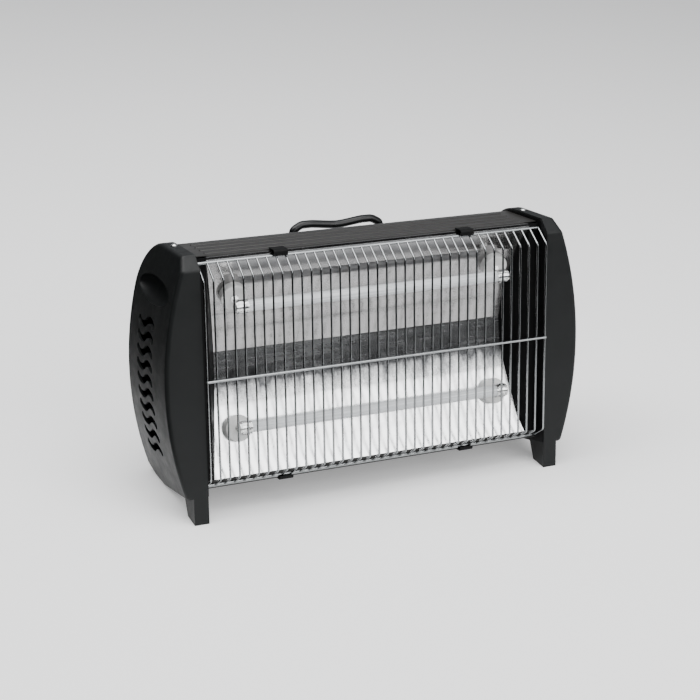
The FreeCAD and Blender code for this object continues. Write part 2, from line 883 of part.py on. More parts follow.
def make_cheeks():
    """Black sheets beside the reflectors: a front flange, a slanted wall and a rear flange."""
    thick = size("sheet")
    low = size("housing_bottom + sheet + 0.4")
    high = size("housing_top - sheet - 0.4")
    edge = size("%s - sheet - 0.2" % HALF)
    for side_name, side in (("left", -1), ("right", 1)):
        points = [
            (edge, size("lip_depth")), (size("cheek_mouth"), size("lip_depth")),
            (size("cheek_throat"), size("cheek_back")), (edge - thick, size("cheek_back") + 14)]
        wire = Part.Wire([Part.makeLine(Vector(side * a[0], a[1], low), Vector(side * b[0], b[1], low))
                          for a, b in zip(points, points[1:])])
        outer = wire.makeOffset2D(thick, 2, False, True, False)
        if outer.BoundBox.YMin < wire.BoundBox.YMin - 0.1:
            outer = wire.makeOffset2D(-thick, 2, False, True, False)
        first = wire.OrderedVertexes[0].Point
        last = wire.OrderedVertexes[-1].Point
        edges = wire.Edges + outer.Edges
        edges.append(Part.makeLine(first, nearest_end(outer, first)))
        edges.append(Part.makeLine(last, nearest_end(outer, last)))
        face = Part.Face(Part.Wire(Part.__sortEdges__(edges)))
        finish(coded("cheek_shape_" + side_name, face.extrude(Vector(0, 0, high - low))), "cheek_" + side_name)


def round_bar(body, name, role, offset, across, up, diameter):
    """A circle on an origin plane, held at two formulas."""
    sketch = sketch_on(body, role, name, offset)
    centre = Vector(size(across), size(up), 0)
    sketch.addGeometry(Part.Circle(centre, Vector(0, 0, 1), size(diameter) / 2))
    pin_point(sketch, 0, 3, across, up)
    index = sketch.addConstraint(Sketcher.Constraint("Diameter", 0, size(diameter)))
    sketch.setExpression("Constraints[%d]" % index, named(diameter))
    return sketch


def make_guard():
    """The welded guard: bent wires at an even pitch on two rails, with one wire across their front."""
    back = size("rail_back")
    bend = size("wire_bend")
    ends = [(back, size("rail_bottom")), (0, size("guard_bottom")), (0, size("guard_top")), (back, size("rail_top"))]
    wire = swept([(0, y, z) for y, z in ends], bend, size("wire_size"))
    count = int(size("wire_count"))
    pitch = size("wire_pitch")
    bars = []
    for number in range(count):
        copy = wire.copy()
        copy.translate(Vector((number - (count - 1) / 2) * pitch, 0, 0))
        bars.append(copy)
    reach = size("rail_length")
    front = -size("(wire_size + middle_size) / 2 - weld_depth")
    for y, z, thick in ((back, size("rail_top"), size("rail_size")), (back, size("rail_bottom"), size("rail_size")),
                        (front, size("guard_middle"), size("middle_size"))):
        bars.append(Part.makeCylinder(thick / 2, reach, Vector(-reach / 2, y, z), Vector(1, 0, 0)))
    finish(coded("guard_shape", bars[0].fuse(bars[1:])), "wire_guard")


def make_guard_clips():
    """Four black clips that hook the guard's rails to the housing."""
    solids = []
    half = size("clip_width") / 2
    rail = size("rail_size") / 2 + 0.3
    front = size("rail_back") - rail - 1
    back = size("housing_front + clip_reach")
    for lift, plate, leg in ((1, size("housing_top + 0.1"), size("rail_top")),
                             (-1, size("housing_bottom - 0.1"), size("rail_bottom"))):
        points = [(back, plate), (front, plate), (front, leg + lift * 0.3)]
        strip = sheet_strip(points, lift * 1.0, half, {1: 1.6})
        for side in (-1, 1):
            piece = strip.copy()
            piece.translate(Vector(side * size("clip_spread"), 0, 0))
            solids.append(piece)
    finish(coded("clip_shapes", Part.makeCompound(solids)), "guard_clips")


def make_tubes():
    """Quartz tubes with their coils, end ferrules, clips and insulators."""
    for name, height in (("upper", "upper_height"), ("lower", "lower_height")):
        start = ("-tube_length / 2", "tube_depth", height)
        along = (1, 0, 0)
        quartz = tube("quartz_" + name, start, along, "tube_size / 2", "tube_size / 2 - tube_wall", "tube_length")
        finish(quartz, "quartz_tube_" + name)
        coil_start = ("-coil_length / 2", "tube_depth", height)
        coil = tube("coil_" + name, coil_start, along, "coil_size / 2", "coil_size / 2 - 0.7", "coil_length")
        finish(coil, "heating_coil_" + name)
        for side_name, side in (("left", -1), ("right", 1)):
            make_tube_end(name, height, side_name, side)


def make_tube_end(name, height, side_name, side):
    """One end of a tube: ferrule, spring clip and ceramic insulator."""
    tag = "%s_%s" % (name, side_name)
    radius = size("tube_size") / 2 + 0.05
    length = size("ferrule_length")
    outward = Vector(side, 0, 0)
    end = Vector(side * (size("tube_length") / 2 + 0.6), size("tube_depth"), size(height))
    cup = Part.makeCylinder(radius + size("ferrule_wall"), length, end, outward * -1)
    cup = cup.cut(Part.makeCylinder(radius, length, end - outward * 0.55, outward * -1))
    bead = Part.makeCylinder(radius + size("ferrule_wall") + 0.5, 1.2, end - outward * length, outward)
    bead = bead.cut(Part.makeCylinder(radius, length, end - outward * (length + 1), outward))
    finish(coded("ferrule_shape_" + tag, cup.fuse(bead)), "ferrule_" + tag)
    place, out = puck_seats()[name]
    seat = Vector(side * size("puck_place"), place.y, place.z) + out * size("reflector_sheet + 0.05")
    depth = size("puck_depth")
    puck = Part.makeCylinder(size("puck_size") / 2, depth, seat, out)
    puck = puck.makeFillet(1.2, [edge for edge in puck.Edges if edge.Closed and
                                 (edge.CenterOfMass - seat).dot(out) > depth / 2])
    spigot = Part.makeCylinder(size("spigot_size") / 2, size("spigot_length"), seat, out * -1)
    puck = puck.fuse(spigot).removeSplitter()
    bore = Part.makeCylinder(1.7, 40, seat - out * 20, out)
    finish(coded("puck_shape_" + tag, puck.cut(bore)), "insulator_" + tag)
    finish(coded("tube_clip_shape_" + tag, tube_clip(seat + out * depth, out, end - outward * 6)), "tube_clip_" + tag)


def tube_clip(face, out, centre):
    """A steel C-ring round the ferrule on a stem that ends in the insulator's bore."""
    inner = size("tube_size") / 2 + 0.05 + size("ferrule_wall") + 0.05
    width = size("clip_ring")
    low = centre - Vector(width / 2, 0, 0)
    ring = Part.makeCylinder(inner + 0.8, width, low, Vector(1, 0, 0))
    ring = ring.cut(Part.makeCylinder(inner, width, low, Vector(1, 0, 0)))
    mouth = Part.makeBox(width, 12, 5, low + Vector(0, -12, -2.5))
    ring = ring.cut(mouth)
    target = Vector(face.x, centre.y, centre.z)
    way = target - face
    reach = way.Length - inner - 0.3
    way.normalize()
    arm = Part.makeBox(width, 1.4, reach - 0.3, Vector(-width / 2, -0.7, 0.3))
    arm.Placement = Placement(face, Rotation(Vector(0, 0, 1), way))
    foot = Part.makeCylinder(4, 1, face + out * 0.05, out)
    pin = Part.makeCylinder(1.6, size("puck_depth") + size("spigot_length") + 3, face + out * 1, out * -1)
    ring.translate(Vector(face.x - centre.x, 0, 0))
    body = ring.fuse([arm, foot, pin]).removeSplitter()
    return body.cut(Part.makeCylinder(inner, 3 * width, Vector(target.x - width, target.y, target.z), Vector(1, 0, 0)))


def swept(points, radii, diameter):
    """A round bar along straight runs joined by tangent arcs; radii may be one number for every corner."""
    corners = [Vector(*point) for point in points]
    inner = range(1, len(corners) - 1)
    arcs = dict(zip(inner, radii)) if isinstance(radii, list) else {index: radii for index in inner}
    path = rounded_path(corners, arcs)
    ring = Part.Wire(Part.Circle(corners[0], corners[1] - corners[0], diameter / 2).toShape())
    return path.makePipeShell([ring], True, False)


def make_handle():
    """The carry handle: one moulded bar with two humps, on two feet that screw to the rear cover."""
    plane = size("handle_plane")
    half = size("handle_width / 2 - handle_size / 2")
    thick = size("handle_size")
    top = size("handle_rise - handle_size / 2")
    foot = size("handle_foot")
    back = size("housing_back")
    shoulder = [(half, top - 5, 5), (half - 9, top, 12), (half - 20, top, 40)]
    rise = [(-x, plane, z) for x, z, radius in shoulder]
    fall = [(x, plane, z) for x, z, radius in reversed(shoulder)]
    path = [(-half, back + 3, foot), (-half, plane, foot)] + rise + [(0, plane, top - 3.2)] + fall
    path += [(half, plane, foot), (half, back + 3, foot)]
    bends = [radius for x, z, radius in shoulder]
    bar = swept(path, [4.5] + bends + [60] + bends[::-1] + [4.5], thick)
    feet = []
    for side in (-1, 1):
        base = Vector(side * half, back + 0.05, foot)
        feet.append(Part.makeCylinder(9, 3.2, base, Vector(0, 1, 0)))
        feet.append(Part.makeCylinder(3.2, 8, base, Vector(0, 1, 0)))
    pads = [Part.makeBox(14, 3.2, 34, Vector(side * half - 7, back + 0.05, foot - 22)) for side in (-1, 1)]
    handle = bar.fuse(feet + pads).removeSplitter()
    screws = []
    for side in (-1, 1):
        place = Vector(side * half, back + 3.25, foot - 15)
        handle = handle.cut(Part.makeCylinder(1.9, 12, place - Vector(0, 6, 0), Vector(0, 1, 0)))
        handle = handle.cut(Part.makeCylinder(3.6, 3, place - Vector(0, 0.6, 0), Vector(0, 1, 0)))
        screws.append(pan_screw(place, Vector(0, 1, 0), 9))
    finish(coded("handle_shape", handle), "carry_handle")
    finish(coded("handle_screw_shapes", Part.makeCompound(screws)), "handle_screws")


def handle_screw_holes():
    """Clearance holes for the handle's screws through both covers."""
    half = size("handle_width / 2 - handle_size / 2")
    back = size("housing_back")
    height = size("handle_foot") - 15
    return [Part.makeCylinder(1.9, 10, Vector(side * half, back - 6, height), Vector(0, 1, 0)) for side in (-1, 1)]


def make_switches():
    """Two rocker switches in the right cap: a body with a flange, and a rocker on its own stub pins."""
    face = "%s + cap_width" % HALF
    for name, number in (("lower", -1), ("upper", 1)):
        centre = switch_centre(number)
        flange = box("flange_" + name, (face + " - switch_flange", "vent_middle - switch_length / 2",
                                        centre + " - switch_height / 2"),
                     "switch_flange", "switch_length", "switch_height")
        case = box("case_" + name, (face + " - box_depth", "vent_middle - switch_length / 2 + switch_rim",
                                    centre + " - switch_height / 2 + switch_rim"),
                   "box_depth - 0.5", "switch_length - 2 * switch_rim", "switch_height - 2 * switch_rim")
        well = box("well_" + name, (face + " - box_depth + 4", "vent_middle - rocker_length / 2 - rocker_gap",
                                    centre + " - rocker_width / 2 - rocker_gap / 2"),
                   "box_depth", "rocker_length + 2 * rocker_gap", "rocker_width + rocker_gap")
        pivot_hole = rod("pivot_hole_" + name, (face + " - pivot_depth", "vent_middle",
                                                centre + " - rocker_width / 2 - 1.6"),
                         (0, 0, 1), "pivot_size / 2 + running_gap", "rocker_width + 3.2")
        shell = fuse("switch_shell_" + name, [flange, case])
        finish(cut("switch_" + name, shell, fuse("switch_space_" + name, [well, pivot_hole])), "switch_body_" + name)
        make_rocker(name, face, centre)


def make_rocker(name, face, centre):
    """A rocker with a shallow V face, tipped to its off side; its hinge runs through the sketch's origin."""
    body = new_body("rocker_" + name + "_body")
    section = sketch_on(body, "XY_Plane", "rocker_section_" + name, "-rocker_width / 2")
    outline(section, [
        ("4.4", "-rocker_length / 2"),
        ("3.2", "0.001"),
        ("4.4", "rocker_length / 2"),
        ("-2.6", "rocker_length / 2 - 1.6"),
        ("-4.2", "0.001"),
        ("-2.6", "-rocker_length / 2 + 1.6"),
    ])
    pad(body, section, "rocker_pad_" + name, "rocker_width")
    pins = round_bar(body, "rocker_pins_" + name, "XY_Plane", "-rocker_width / 2 - 1.2", "0.001", "0.001", "pivot_size")
    pad(body, pins, "rocker_pin_pad_" + name, "rocker_width + 2.4")
    pivot = Vector(size(face + " - pivot_depth"), size("vent_middle"), size(centre))
    local = Placement(pivot, Rotation(Vector(0, 0, 1), size("rocker_throw")))
    finish(body, "rocker_" + name, local)


def make_tip_switch():
    """The tip-over switch inside the right cap: a bracket with a pin, and a pendulum that hangs from it."""
    plate = size(HALF)
    middle = size("pendulum_middle")
    height = size("pendulum_height")
    reach = size("pendulum_length")
    bob = size("pendulum_bob")
    case = Part.makeBox(18, 46, reach + bob + 16, Vector(plate + 0.05, middle - 23, height - reach - bob - 4))
    space = Part.makeBox(13, 42, reach + bob + 12, Vector(plate + 2.5, middle - 21, height - reach - bob - 2))
    window = Part.makeBox(10, 26, reach + bob - 8, Vector(plate + 12, middle - 13, height - reach - bob + 4))
    pin = Part.makeCylinder(1.5, 16, Vector(plate + 1, middle, height), Vector(1, 0, 0))
    finish(coded("tip_case", case.cut(space).cut(window).fuse(pin).removeSplitter()), "tip_switch_bracket")
    hub = Part.makeCylinder(4, 6, Vector(-3, 0, 0), Vector(1, 0, 0))
    stem = Part.makeBox(3, 3, reach, Vector(-1.5, -1.5, -reach))
    weight = Part.makeCylinder(bob / 2, 8, Vector(-4, 0, -reach), Vector(1, 0, 0))
    pendulum = hub.fuse([stem, weight]).removeSplitter()
    pendulum = pendulum.cut(Part.makeCylinder(1.5 + size("running_gap"), 20, Vector(-10, 0, 0), Vector(1, 0, 0)))
    local = Placement(Vector(plate + 9, middle, height), Rotation(Vector(1, 0, 0), size("lean")))
    finish(coded("pendulum_shape", pendulum), "tip_pendulum", local)


def make_electrics():
    """Thermal cut-out, terminal block, internal leads and the gland where the cord enters."""
    inner = HALF + " + 0.05"
    across = (1, 0, 0)
    disc = rod("cutout_disc", (inner, "cutout_middle", "cutout_height"), across, "8", "5")
    neck = rod("cutout_neck", (inner + " + 4.95", "cutout_middle", "cutout_height"), across, "5", "5")
    tabs = [box("cutout_tab_%s" % word, (inner + " + 9.75", "cutout_middle + %s" % offset, "cutout_height - 3"),
                "4", "0.8", "6") for word, offset in (("front", "(-3.4)"), ("rear", "2.6"))]
    finish(fuse("cutout_parts", [disc, neck] + tabs), "thermal_cutout")
    block = box("block_base", (inner, "block_middle - 8", "block_height"), "12", "16", "3 * block_pitch + 1")
    heights = ["block_height + (%d + 0.55) * block_pitch" % row for row in range(3)]
    wells = [rod("block_well_%d" % row, (inner + " + 7", "block_middle", height), across, "2.6", "6")
             for row, height in enumerate(heights)]
    finish(cut("block_body", block, fuse("block_wells", wells)), "terminal_block")
    screws = [rod("block_screw_%d" % row, (inner + " + 7.05", "block_middle", height), across, "2.4", "3")
              for row, height in enumerate(heights)]
    finish(group("block_screws", screws), "terminal_screws")
    make_leads()
    wall = Vector(gland_x(), size("housing_back"), size("gland_height"))
    rearward = Vector(0, 1, 0)
    outer = size("gland_size") / 2
    gland = Part.makeCylinder(outer, 3, wall + rearward * 0.05, rearward)
    gland = gland.fuse(Part.makeCylinder(outer - 2.2, 12, wall - rearward * 8, rearward))
    gland = gland.fuse(Part.makeCone(outer - 1.5, outer - 3, 9, wall + rearward * 3, rearward))
    gland = gland.cut(Part.makeCylinder(size("gland_bore") / 2, 40, wall - rearward * 20, rearward))
    inside = wall - rearward * size("2 * sheet + 0.2")
    nut = Part.makeCylinder(outer, 3, inside, rearward * -1)
    nut = nut.cut(Part.makeCylinder(outer - 2.15, 10, inside, rearward * -1))
    finish(coded("gland_shape", gland), "cord_gland")
    finish(coded("gland_nut_shape", nut), "gland_nut")


def lead_start(name, side):
    """The first two points of a lead, straight out of an insulator's back."""
    seat, out = puck_seats()[name]
    point = seat - out * size("spigot_length + 3.4")
    behind = point - out * 12
    x = side * size("puck_place")
    return [(x, point.y, point.z), (x, behind.y, behind.z)]


def make_leads():
    """Insulated leads behind the reflectors: one joins the tubes' left ends, two run to the switches."""
    thick = size("lead_size")
    place = size("puck_place")
    left = lead_start("upper", -1) + [(-place, 80, 190), (-place, 84, 150), (-place, 80, 100)]
    left += lead_start("lower", -1)[::-1]
    finish(coded("lead_left_shape", swept(left, 8, thick)), "lead_left")
    plate = size(HALF)
    middle = size("grommet_middle")
    case = size("%s + cap_width - box_depth - 0.2" % HALF)
    for name, offset, number in (("upper", 3, 1), ("lower", -3, -1)):
        level = size("grommet_height") + offset
        switch = size(switch_centre(number))
        route = lead_start(name, 1) + [(place + 6, middle, (level + switch) / 2 + 20 * offset),
                                       (plate - 14, middle, level), (plate + 6, middle, level),
                                       (case - 8, middle - 12, switch), (case, middle - 12, switch)]
        finish(coded("lead_shape_" + name, swept(route, 3.5, thick)), "lead_right_" + name)


# ---------------------------------------------------------------- the whole heater


def stand_on_floor():
    """Lean every finished piece back and centre the heater's footprint on the origin."""
    lean = Rotation(Vector(1, 0, 0), -size("lean"))
    for obj, local in finished:
        obj.Placement = Placement(Vector(0, 0, 0), lean).multiply(local)
    doc.recompute()
    box_all = FreeCAD.BoundBox()
    for obj, local in finished:
        box_all.add(obj.Shape.optimalBoundingBox(False, False))
    shift = Vector(0, -(box_all.YMin + box_all.YMax) / 2, 0)
    for obj, local in finished:
        obj.Placement = Placement(shift, lean).multiply(local)
    doc.recompute()
    return shift, box_all


def check_and_write():
    """Stop on any failed object, then write each finished piece."""
    for obj in doc.Objects:
        if "Invalid" in obj.State or "Error" in obj.State:
            raise RuntimeError("%s failed: %s" % (obj.Name, obj.getStatusString()))
    os.makedirs("parts", exist_ok=True)
    for obj, local in finished:
        if obj.Shape.isNull() or not obj.Shape.isValid():
            raise RuntimeError("%s has no valid shape" % obj.Label)
        obj.Shape.exportStep("parts/%s.step" % obj.Label)


make_end_caps()
make_end_plates()
make_housing()
make_reflectors()
make_cheeks()
make_guard()
make_guard_clips()
make_tubes()
make_handle()
make_switches()
make_tip_switch()
make_electrics()
shift, footprint = stand_on_floor()
check_and_write()
print("pieces", len(finished), "size", footprint, "shift", shift)
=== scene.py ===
import math

import bmesh
import bpy
from mathutils import Euler, Matrix, Vector


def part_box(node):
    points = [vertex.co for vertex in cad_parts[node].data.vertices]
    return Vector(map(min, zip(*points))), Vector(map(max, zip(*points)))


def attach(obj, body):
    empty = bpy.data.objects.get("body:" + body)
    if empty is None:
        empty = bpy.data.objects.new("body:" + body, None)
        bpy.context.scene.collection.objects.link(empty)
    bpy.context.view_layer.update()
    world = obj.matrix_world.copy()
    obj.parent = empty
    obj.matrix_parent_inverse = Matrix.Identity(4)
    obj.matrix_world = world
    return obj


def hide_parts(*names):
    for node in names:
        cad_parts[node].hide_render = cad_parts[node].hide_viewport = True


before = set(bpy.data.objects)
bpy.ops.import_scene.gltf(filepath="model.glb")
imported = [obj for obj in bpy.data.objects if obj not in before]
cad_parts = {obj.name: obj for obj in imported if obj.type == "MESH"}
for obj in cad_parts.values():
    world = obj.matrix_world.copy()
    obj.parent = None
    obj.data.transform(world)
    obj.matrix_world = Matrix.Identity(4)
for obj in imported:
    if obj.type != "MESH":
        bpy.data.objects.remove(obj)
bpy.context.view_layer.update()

MM = 0.001

# Stance and guard, as the frame is made
LEAN = math.radians(7.5)
CAP_FRONT = 2 * MM
WIRES = 38
WIRE_PITCH = 9.6 * MM
WIRE_SIZE = 2 * MM
MIDDLE_HEIGHT = 139.6 * MM
MIDDLE_DEPTH = -1.8 * MM
RAIL_DEPTH = 16.4 * MM
TOP_RAIL = 247.8 * MM
BOTTOM_RAIL = 32.4 * MM

# Heating coils
COIL_WIRE = 0.62 * MM
COIL_PITCH = 1.35 * MM
COIL_STEPS = 14
COIL_SIDES = 6
COIL_TAIL = 2 * MM

# Weld beads, half sizes across, deep and high
BEAD = Matrix.Diagonal((1.25 * MM, 0.9 * MM, 1.15 * MM, 1.0))

# Painted reflection on the lower reflector: a dark band under the crease that starts at one height, is
# darkest at the next and turns a paler painted grey above
PAINTED_BAND_START = 90 * MM
PAINTED_BAND_DARKEST = 112 * MM
PAINTED_BAND_PALER = 124 * MM
PAINTED_BAND_RAGGED = 9 * MM
PAINTED_BAND_DARK = (0.075, 0.077, 0.08)
PAINTED_BAND_PALE = (0.34, 0.345, 0.35)

# The part of its range that a noise mostly fills
NOISE_LOW = 0.3
NOISE_HIGH = 0.7

# Camera
AZIMUTH = math.radians(24.43)
ELEVATION = math.radians(22.60)
ROLL = math.radians(2.39)
DISTANCE = 1.679
AIM = Vector((-0.0075, 0.0034, 0.1242))
LENS = 87.16
SENSOR = 36.0
SIGHT = 60

# Studio
FLOOR_SIZE = 30
SURROUND = (0.94, 0.96, 1.0, 1.0)
SURROUND_STRENGTH = 0.30

# Black cards in front and to the left
FRONT_FLAG = -0.62
FRONT_FLAG_HEIGHT = 0.25
FRONT_FLAG_REACH = 2.4
SIDE_FLAG = -0.285
SIDE_FLAG_HEIGHT = 0.42
SIDE_FLAG_NEAR = -0.5
SIDE_FLAG_FAR = 3


def leaned(x, y, z):
    """A point given across, behind the guard's plane and up along its wires, where it stands on the floor."""
    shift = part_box("end_cap_left")[0][1] - CAP_FRONT / math.cos(LEAN)
    back = y * math.cos(LEAN) + z * math.sin(LEAN) + shift
    up = z * math.cos(LEAN) - y * math.sin(LEAN)
    return Vector((x, back, up))


# ---------------------------------------------------------------- materials


class Surface:
    """A Principled material and the few node patterns that the finishes share."""

    def __init__(self, name, **values):
        self.material = bpy.data.materials.new(name)
        self.material.use_nodes = True
        self.nodes = self.material.node_tree.nodes
        self.links = self.material.node_tree.links
        self.shader = self.nodes["Principled BSDF"]
        self.bumped = None
        self.place = self.nodes.new("ShaderNodeTexCoord").outputs["Object"]
        # specular_ior_level sets the socket "Specular IOR Level"
        for key, value in values.items():
            self.set(key.replace("_", " ").title().replace("Ior", "IOR"), value)

    def set(self, socket, value):
        """Link a socket to one of the shader's inputs, or give the input a plain value."""
        if isinstance(value, bpy.types.NodeSocket):
            self.links.new(value, self.shader.inputs[socket])
        else:
            self.shader.inputs[socket].default_value = value

    def stretched(self, x, y, z, turn=0.0):
        """The object's own coordinates, scaled along each axis and turned about X."""
        node = self.nodes.new("ShaderNodeMapping")
        node.inputs["Scale"].default_value = (x, y, z)
        node.inputs["Rotation"].default_value = (turn, 0, 0)
        self.links.new(self.place, node.inputs["Vector"])
        return node.outputs["Vector"]

    def noise(self, scale, detail=3.0, rough=0.5, place=None):
        """Soft clouds."""
        node = self.nodes.new("ShaderNodeTexNoise")
        node.inputs["Scale"].default_value = scale
        node.inputs["Detail"].default_value = detail
        node.inputs["Roughness"].default_value = rough
        self.links.new(place or self.place, node.inputs["Vector"])
        return node.outputs["Fac"]

    def height(self):
        """How high a point stands in the object's own coordinates."""
        node = self.nodes.new("ShaderNodeSeparateXYZ")
        self.links.new(self.place, node.inputs["Vector"])
        return node.outputs["Z"]

    def cells(self, scale):
        """A pebbled grain."""
        node = self.nodes.new("ShaderNodeTexVoronoi")
        node.inputs["Scale"].default_value = scale
        self.links.new(self.place, node.inputs["Vector"])
        return node.outputs["Distance"]

    def waves(self, scale, direction, place=None, distortion=0.0):
        """Even bands."""
        node = self.nodes.new("ShaderNodeTexWave")
        node.bands_direction = direction
        node.inputs["Scale"].default_value = scale
        node.inputs["Distortion"].default_value = distortion
        self.links.new(place or self.place, node.inputs["Vector"])
        return node.outputs["Fac"]

    def span(self, value, low, high, start=0.0, end=1.0):
        """A value moved from the span start..end to low..high."""
        node = self.nodes.new("ShaderNodeMapRange")
        node.inputs["From Min"].default_value = start
        node.inputs["From Max"].default_value = end
        node.inputs["To Min"].default_value = low
        node.inputs["To Max"].default_value = high
        self.links.new(value, node.inputs["Value"])
        return node.outputs["Result"]

    def spread(self, pattern, low, high):
        """A noise, whose usual range is moved to low..high."""
        return self.span(pattern, low, high, NOISE_LOW, NOISE_HIGH)

    def mix(self, value, first, second):
        """A colour between two colours or sockets."""
        node = self.nodes.new("ShaderNodeMix")
        node.data_type = "RGBA"
        self.links.new(value, node.inputs["Factor"])
        for socket, colour in (("A", first), ("B", second)):
            target = [item for item in node.inputs if item.name == socket and item.type == "RGBA"][0]
            if isinstance(colour, bpy.types.NodeSocket):
                self.links.new(colour, target)
            else:
                target.default_value = (*colour, 1.0)
        return [item for item in node.outputs if item.type == "RGBA"][0]

    def math(self, kind, first, second):
        """Two numbers or sockets put through one operation."""
        node = self.nodes.new("ShaderNodeMath")
        node.operation = kind
        for index, value in enumerate((first, second)):
            if isinstance(value, bpy.types.NodeSocket):
                self.links.new(value, node.inputs[index])
            else:
                node.inputs[index].default_value = value
        return node.outputs["Value"]

    def bump(self, height, strength, distance):
        """Lay a relief over the ones already there."""
        node = self.nodes.new("ShaderNodeBump")
        node.inputs["Strength"].default_value = strength
        node.inputs["Distance"].default_value = distance
        self.links.new(height, node.inputs["Height"])
        if self.bumped:
            self.links.new(self.bumped, node.inputs["Normal"])
        self.bumped = node.outputs["Normal"]
        self.set("Normal", self.bumped)


def grained_black():
    """Satin black moulded plastic: a fine spark-eroded grain and faint handling marks."""
    look = Surface("black_moulding", specular_ior_level=0.22)
    cloud = look.noise(22, 4, 0.6)
    look.set("Base Color", look.mix(cloud, (0.0052, 0.0060, 0.0062), (0.0084, 0.0094, 0.0096)))
    look.set("Roughness", look.spread(look.noise(60, 5, 0.65), 0.40, 0.54))
    look.bump(look.cells(2100), 0.28, 0.00006)
    look.bump(look.noise(900, 3, 0.6), 0.20, 0.00005)
    return look.material


def smooth_black():
    """The carry handle: smoother black plastic with a soft gleam."""
    look = Surface("black_handle", specular_ior_level=0.35)
    look.set("Base Color", look.mix(look.noise(40, 3), (0.0035, 0.0040, 0.0043), (0.0060, 0.0065, 0.0068)))
    look.set("Roughness", look.spread(look.noise(90, 4, 0.6), 0.26, 0.38))
    look.bump(look.noise(1400, 2), 0.12, 0.00004)
    return look.material


def stoved_steel():
    """Dark stoved enamel on sheet steel: fine orange peel and long rolling marks."""
    look = Surface("stoved_steel", specular_ior_level=0.42)
    streaks = look.noise(1.0, 4, 0.6, look.stretched(6, 420, 420))
    look.set("Base Color", look.mix(streaks, (0.0160, 0.0154, 0.0148), (0.0280, 0.0270, 0.0258)))
    look.set("Roughness", look.spread(look.noise(70, 4, 0.6), 0.30, 0.44))
    look.bump(look.noise(520, 2, 0.5), 0.20, 0.00012)
    look.bump(streaks, 0.10, 0.00006)
    return look.material


def black_sheet():
    """Matt black heat-proof paint on the cheeks, end plates and clips."""
    look = Surface("black_sheet", specular_ior_level=0.12)
    cloud = look.noise(30, 4, 0.6)
    look.set("Base Color", look.mix(cloud, (0.0022, 0.0022, 0.0024), (0.0048, 0.0048, 0.0052)))
    look.set("Roughness", look.spread(look.noise(120, 4, 0.6), 0.46, 0.62))
    look.bump(look.noise(800, 3, 0.55), 0.25, 0.00008)
    return look.material


def bright_sheet(name, dull, clean, painted_band=False):
    """Rolled aluminium: streaks along its length, a mottled haze, slight waves, and, when asked for, a
    painted dark reflection band with painted grey above it.
    """
    look = Surface(name, metallic=1.0)
    streaks = look.noise(1.0, 5, 0.62, look.stretched(9, 300, 300))
    haze = look.noise(75, 5, 0.68)
    blend = look.math("ADD", look.math("MULTIPLY", streaks, 0.5), look.math("MULTIPLY", haze, 0.5))
    colour = look.mix(look.span(blend, 0, 1, 0.35, 0.65), dull, clean)
    rough = look.spread(blend, 0.08, 0.24)
    # Painted reflection: the colour darkens into a band under the crease and turns a paler painted grey above
    # it
    if painted_band:
        ragged = look.noise(1.0, 5, 0.65, look.stretched(70, 70, 14))
        place = look.math("ADD", look.height(), look.spread(ragged, -PAINTED_BAND_RAGGED, PAINTED_BAND_RAGGED))
        dark = look.span(place, 0, 1, PAINTED_BAND_START, PAINTED_BAND_DARKEST)
        pale = look.span(place, 0, 1, PAINTED_BAND_DARKEST, PAINTED_BAND_PALER)
        colour = look.mix(pale, look.mix(dark, colour, PAINTED_BAND_DARK), PAINTED_BAND_PALE)
        rough = look.math("ADD", rough, look.math("MULTIPLY", dark, 0.09))
    look.set("Base Color", colour)
    look.set("Roughness", rough)
    look.bump(look.noise(1.0, 2, 0.5, look.stretched(14, 11, 11)), 0.10, 0.0008)
    look.bump(streaks, 0.08, 0.00006)
    return look.material


def lower_aluminium():
    """The lower reflector, bright, with a painted dark reflection towards the crease and painted grey above
    it.
    """
    return bright_sheet("lower_aluminium", (0.86, 0.87, 0.88), (0.95, 0.955, 0.96), painted_band=True)


def upper_aluminium():
    """The upper reflector: the lower's aluminium in a darker colour, a painted dark reflection."""
    return bright_sheet("upper_aluminium", (0.32, 0.315, 0.315), (0.44, 0.435, 0.435))


def bright_wire():
    """Plated guard wire with faint drawing lines."""
    look = Surface("bright_wire", metallic=1.0)
    lines = look.noise(1.0, 3, 0.6, look.stretched(2400, 2400, 60, LEAN))
    look.set("Base Color", look.mix(look.noise(120, 3), (0.21, 0.22, 0.225), (0.33, 0.34, 0.345)))
    look.set("Roughness", look.spread(lines, 0.10, 0.24))
    look.bump(lines, 0.12, 0.00003)
    return look.material


def milky_quartz():
    """Fused quartz with long draw lines that cloud it."""
    look = Surface("milky_quartz", ior=1.46, transmission_weight=0.16)
    lines = look.noise(1.0, 4, 0.6, look.stretched(5, 900, 900))
    look.set("Base Color", look.mix(lines, (0.66, 0.69, 0.72), (0.97, 0.98, 0.99)))
    look.set("Roughness", look.spread(lines, 0.10, 0.42))
    look.bump(lines, 0.25, 0.00008)
    return look.material


def coil_wire():
    """Resistance wire with a dull oxide skin."""
    look = Surface("coil_wire", metallic=1.0)
    tint = look.noise(380, 4, 0.6)
    look.set("Base Color", look.mix(tint, (0.20, 0.18, 0.165), (0.42, 0.39, 0.36)))
    look.set("Roughness", look.spread(tint, 0.34, 0.55))
    return look.material


def plated_steel():
    """Nickel-plated ferrules, tube clips, cut-out and screws."""
    look = Surface("plated_steel", metallic=1.0)
    marks = look.noise(420, 4, 0.65)
    look.set("Base Color", look.mix(marks, (0.66, 0.665, 0.66), (0.86, 0.865, 0.86)))
    look.set("Roughness", look.spread(marks, 0.14, 0.32))
    look.bump(marks, 0.15, 0.00005)
    return look.material


def steatite():
    """Glazed off-white ceramic of the insulators and terminal block, with fine pores and a little soot."""
    look = Surface("steatite", specular_ior_level=0.5)
    soot = look.noise(120, 4, 0.6)
    look.set("Base Color", look.mix(soot, (0.62, 0.62, 0.61), (0.86, 0.86, 0.85)))
    look.set("Roughness", look.spread(soot, 0.16, 0.34))
    look.bump(look.cells(1500), 0.10, 0.00005)
    return look.material


